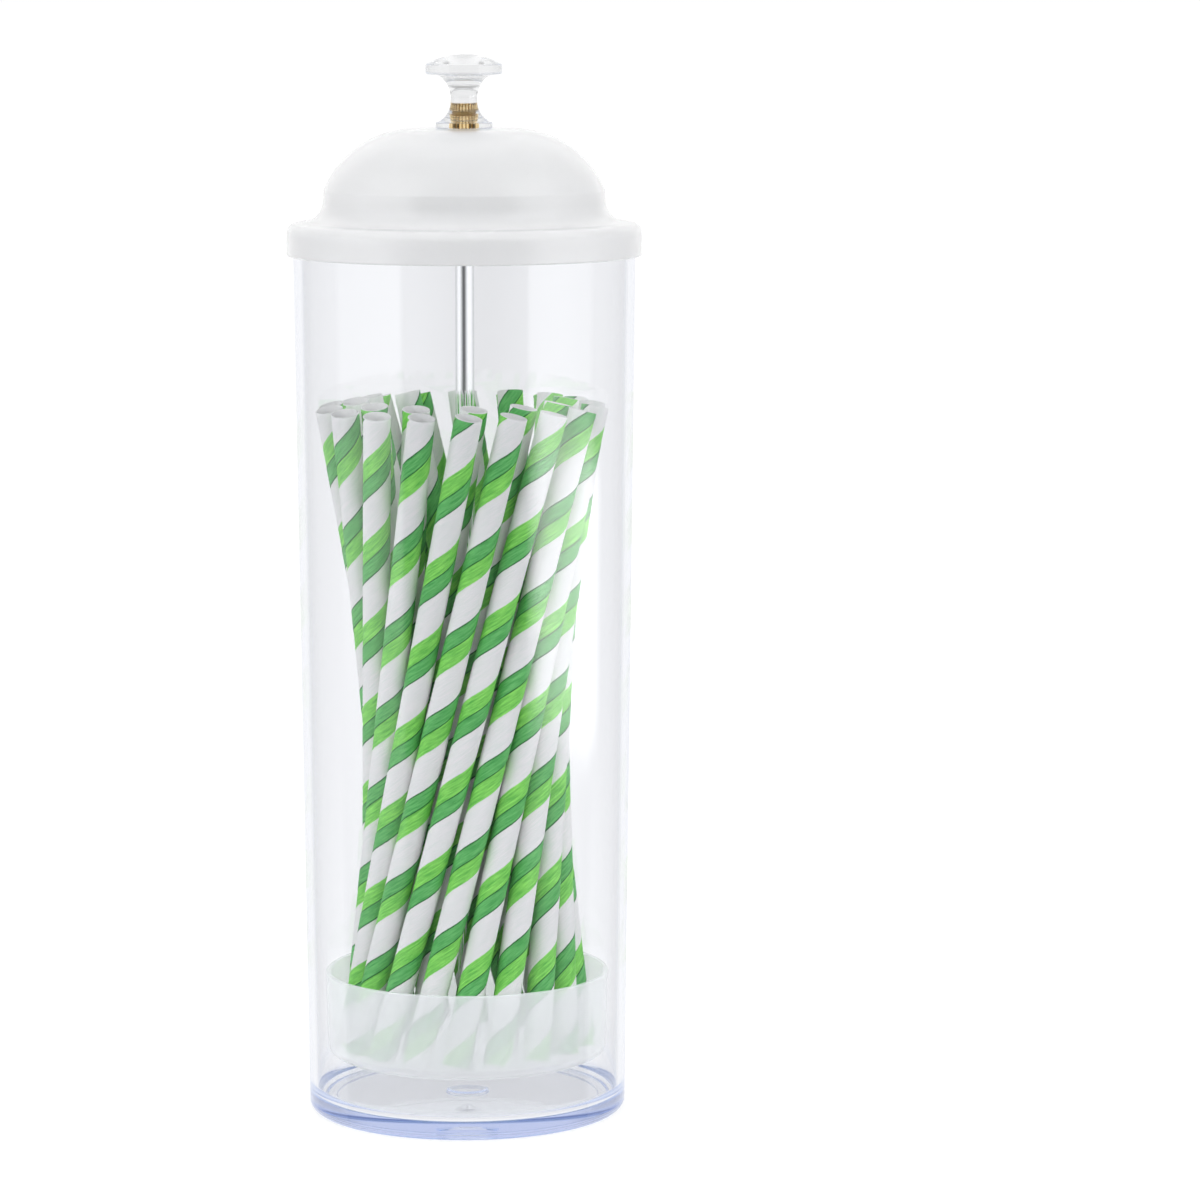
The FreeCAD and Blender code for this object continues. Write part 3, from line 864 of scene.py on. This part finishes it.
def make_world():
    """White page for the eye and through glass; for reflections a studio that is dark behind the camera."""
    world = bpy.data.worlds.new("Studio")
    bpy.context.scene.world = world
    world.use_nodes = True
    tree = world.node_tree
    link = tree.links.new

    def maths(operation, first, second):
        node = add(tree, "ShaderNodeMath", operation=operation)
        for socket, value in zip(node.inputs, (first, second)):
            if isinstance(value, float):
                socket.default_value = value
            else:
                link(value, socket)
        return node.outputs["Value"]

    place = add(tree, "ShaderNodeTexCoord")
    axes = add(tree, "ShaderNodeSeparateXYZ")
    link(place.outputs["Generated"], axes.inputs["Vector"])
    toward = maths("MULTIPLY", axes.outputs["Y"], -1.0)
    turn = maths("MULTIPLY", maths("ARCTAN2", axes.outputs["X"], toward), 180 / math.pi)
    rise = maths("MULTIPLY", maths("ARCSINE", axes.outputs["Z"], 0.0), 180 / math.pi)
    away = maths("ABSOLUTE", turn, 0.0)
    backdrop = maths("MULTIPLY", smooth_band(tree, away, 154.0, 200.0, 50.0), 0.95)
    wings = maths("MULTIPLY", smooth_band(tree, away, 100.0, 200.0, 4.0), 0.68)
    sides = smooth_band(tree, away, 46.0, 96.0, 4.0)
    tall = smooth_band(tree, rise, -6.0, 50.0, 9.0)
    glare = smooth_band(tree, turn, 56.0, 100.0, 13.0)
    low = smooth_band(tree, rise, -9.4, -7.2, 1.4)
    strips = maths("ADD", maths("MULTIPLY", sides, tall), maths("MULTIPLY", glare, maths("MULTIPLY", low, 2.6)))
    ceiling = maths("MULTIPLY", smooth_band(tree, rise, 30.0, 100.0, 12.0), 0.55)
    table = maths("MULTIPLY", smooth_band(tree, rise, -100.0, -17.0, 4.0), 0.95)
    studio = maths("ADD", maths("MAXIMUM", maths("MAXIMUM", strips, backdrop), wings), 0.09)
    studio = maths("MAXIMUM", maths("MAXIMUM", studio, ceiling), table)

    path = add(tree, "ShaderNodeLightPath")
    again = maths("GREATER_THAN", path.outputs["Glossy Depth"], 1.5)
    studio = maths("MAXIMUM", studio, maths("MULTIPLY", again, 0.62))
    inner = maths("GREATER_THAN", path.outputs["Transmission Depth"], 3.5)
    aside = maths("ABSOLUTE", maths("ADD", turn, 12.0), 0.0)
    bright = maths("ADD", maths("MULTIPLY", smooth_band(tree, aside, 58.0, 400.0, 58.0), 1.2), 0.14)
    falling = maths("SUBTRACT", 1.0, maths("MULTIPLY", smooth_band(tree, away, 135.0, 400.0, 60.0), 0.4))
    rod_view = maths("MULTIPLY", bright, falling)
    deep = add(tree, "ShaderNodeMix", data_type="FLOAT")
    link(inner, deep.inputs["Factor"])
    link(studio, deep.inputs["A"])
    link(rod_view, deep.inputs["B"])
    studio = deep.outputs["Result"]
    mirrored = maths("GREATER_THAN", path.outputs["Glossy Depth"], 0.5)
    lit = maths("GREATER_THAN", path.outputs["Diffuse Depth"], 0.5)
    seen = add(tree, "ShaderNodeMix", data_type="FLOAT")
    link(mirrored, seen.inputs["Factor"])
    seen.inputs["A"].default_value = 1.0
    link(studio, seen.inputs["B"])
    level = add(tree, "ShaderNodeMix", data_type="FLOAT")
    link(lit, level.inputs["Factor"])
    link(seen.outputs["Result"], level.inputs["A"])
    inside = maths("MULTIPLY", path.outputs["Is Transmission Ray"], 1.0)
    walls = maths("MULTIPLY", smooth_band(tree, away, 70.0, 130.0, 40.0), 0.34)
    link(maths("ADD", maths("ADD", inside, walls), 0.68), level.inputs["B"])
    background = tree.nodes["Background"]
    background.inputs["Color"].default_value = (1.0, 1.0, 1.0, 1.0)
    link(level.outputs["Result"], background.inputs["Strength"])


wear = handled_surface()
frost = moulded_frost()
canister_plastic = clear_plastic("Clear plastic", wear, (0.945, 0.947, 0.953), 14.0, 0.0)
knob_plastic = clear_plastic("Clear knob", wear, (0.86, 0.865, 0.872), 0.0, 0.09)
lid_plastic = frosted_plastic("Frosted lid", frost, (0.945, 0.948, 0.956), 0.5, 0.34, 1.0, 0.0)
# The tray glows with painted light, so it stays bright.
tray_plastic = frosted_plastic("Frosted tray", frost, (0.93, 0.94, 0.945), 0.0, 0.3, 0.47, 0.165)
steel = metal("Drawn steel", wear, (0.95, 0.955, 0.96), 0.02, 0.07, 2600.0)
# The brass insert's knurl gets painted shade in its valleys.
brass = metal("Brass", wear, (0.97, 0.76, 0.42), 0.08, 0.2, 1500.0, (0.00258, 0.00278))
paper = striped_paper()
bare_paper = plain_paper()

make_canister(canister_plastic)
make_lid(lid_plastic)
make_knob(knob_plastic)
make_tray(tray_plastic)
make_rod(steel)
make_straws([paper, bare_paper])
dress(steel, "lid_washer", "tray_upper_washer", "tray_lower_washer", "tray_nut")
dress(brass, "knob_insert")

bpy.context.scene.view_settings.view_transform = "Standard"
make_camera()
make_world()
make_floor()
make_lamp("Left lamp", (-0.9, -0.7, 0.9), (0.7, 0.9), 4.5)
make_lamp("Right lamp", (1.0, -0.5, 0.8), (0.7, 0.9), 3.5)
